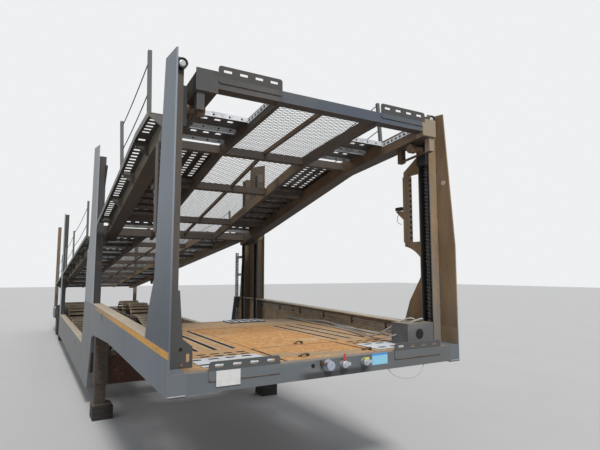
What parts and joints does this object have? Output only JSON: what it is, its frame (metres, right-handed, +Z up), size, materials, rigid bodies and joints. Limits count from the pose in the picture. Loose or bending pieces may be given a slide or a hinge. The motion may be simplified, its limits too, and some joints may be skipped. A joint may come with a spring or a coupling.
{
  "type": "two-level car transporter semi-trailer",
  "caption": "Detached gooseneck car transporter semi-trailer with a kingpin, lifting upper decks on spindle posts, a dropped lower deck and twin-wheel axles, parked on its legs.",
  "frame": {"origin": "on the ground under the middle of the trailer's length and width", "axes": "+Z up, +Y to the rear along the length, +X to the trailer's left side"},
  "size_m": [2.55, 14.6, 3.6911],
  "materials": {
    "frame_paint": "weathered grey paint",
    "galvanised": "dull galvanised",
    "dark_steel": "dirty dark steel",
    "rusty_steel": "rusty steel",
    "black_steel": "greasy black",
    "tyre_rubber": "matt",
    "guard_plastic": "matt",
    "bellows": "matt",
    "block": "wet dark timber",
    "lamp_red": "clear red",
    "coupling_black": "matt"
  },
  "bodies": {
    "chassis": {"air_springs": "bellows", "axle_1": "dark_steel", "axle_2": "dark_steel", "corner_plates": "galvanised", "coupler_plate": "dark_steel", "foot_blocks": "block", "foot_housing": "frame_paint", "front_beam": "galvanised", "front_post_left": "frame_paint", "front_post_right": "frame_paint", "kingpin": "dark_steel", "landing_legs": "rusty_steel", "leg_brace": "rusty_steel", "lift_spindles": "black_steel", "low_frame": "rusty_steel", "low_tracks": "galvanised", "mid_post_left": "frame_paint", "mid_post_right": "frame_paint", "mudguards": "guard_plastic", "neck_floor": "rusty_steel", "neck_frame": "dark_steel", "pivot_brackets": "frame_paint", "rear_frame": "dark_steel", "rear_lamps": "lamp_red", "rear_post_left": "frame_paint", "rear_post_right": "frame_paint", "rear_tracks": "galvanised", "service_couplings": "coupling_black", "side_frame_left": "frame_paint", "side_frame_right": "frame_paint", "step_ramps": "galvanised", "step_wall": "rusty_steel", "suspension": "dark_steel", "tail_beam": "frame_paint", "tail_panels": "frame_paint", "tail_posts": "rusty_steel", "underrun_bar": "frame_paint", "work_lamps": "black_steel"},
    "front_deck": {"front_deck_frame": "frame_paint", "front_deck_planks": "galvanised", "front_mesh": "galvanised", "front_walkways": "galvanised", "front_rails": "rusty_steel"},
    "rear_deck": {"rear_deck_frame": "frame_paint", "rear_deck_planks": "galvanised", "rear_mesh": "galvanised", "rear_walkways": "galvanised", "rear_rails": "rusty_steel"},
    "front_lift": {"front_nuts": "black_steel"},
    "rear_lift": {"rear_nuts": "black_steel"},
    "wheel_1_left": {"tyres_1_left": "tyre_rubber", "rims_1_left": "frame_paint"},
    "wheel_1_right": {"tyres_1_right": "tyre_rubber", "rims_1_right": "frame_paint"},
    "wheel_2_left": {"tyres_2_left": "tyre_rubber", "rims_2_left": "frame_paint"},
    "wheel_2_right": {"tyres_2_right": "tyre_rubber", "rims_2_right": "frame_paint"}
  },
  "joints": [
    {"name": "wheel_1_left_spin", "type": "hinge", "parent": "chassis", "child": "wheel_1_left", "pos_m": [0, 4.26, 0.392], "axis": [1, 0, 0], "continuous": true},
    {"name": "wheel_1_right_spin", "type": "hinge", "parent": "chassis", "child": "wheel_1_right", "pos_m": [0, 4.26, 0.392], "axis": [1, 0, 0], "continuous": true},
    {"name": "wheel_2_left_spin", "type": "hinge", "parent": "chassis", "child": "wheel_2_left", "pos_m": [0, 5.61, 0.392], "axis": [1, 0, 0], "continuous": true},
    {"name": "wheel_2_right_spin", "type": "hinge", "parent": "chassis", "child": "wheel_2_right", "pos_m": [0, 5.61, 0.392], "axis": [1, 0, 0], "continuous": true},
    {"name": "front_deck_pitch", "type": "hinge", "parent": "chassis", "child": "front_deck", "pos_m": [0, -3.18, 2.3726], "axis": [1, 0, 0], "range_deg": [-0.5, 20.5]},
    {"name": "rear_deck_pitch", "type": "hinge", "parent": "chassis", "child": "rear_deck", "pos_m": [0, -2.68, 2.4073], "axis": [1, 0, 0], "range_deg": [-1.5, 10]},
    {"name": "front_lift_slide", "type": "slide", "parent": "chassis", "child": "front_lift", "axis": [0, 0, 1], "range_m": [-1.4, 0.05]},
    {"name": "rear_lift_slide", "type": "slide", "parent": "chassis", "child": "rear_lift", "axis": [0, 0, 1], "range_m": [-0.19, 1.13]}
  ],
  "couplings": [
    {"joint": "front_lift_slide", "follows": "front_deck_pitch", "m_per_rad": -3.842},
    {"joint": "rear_lift_slide", "follows": "rear_deck_pitch", "m_per_rad": 6.34}
  ]
}
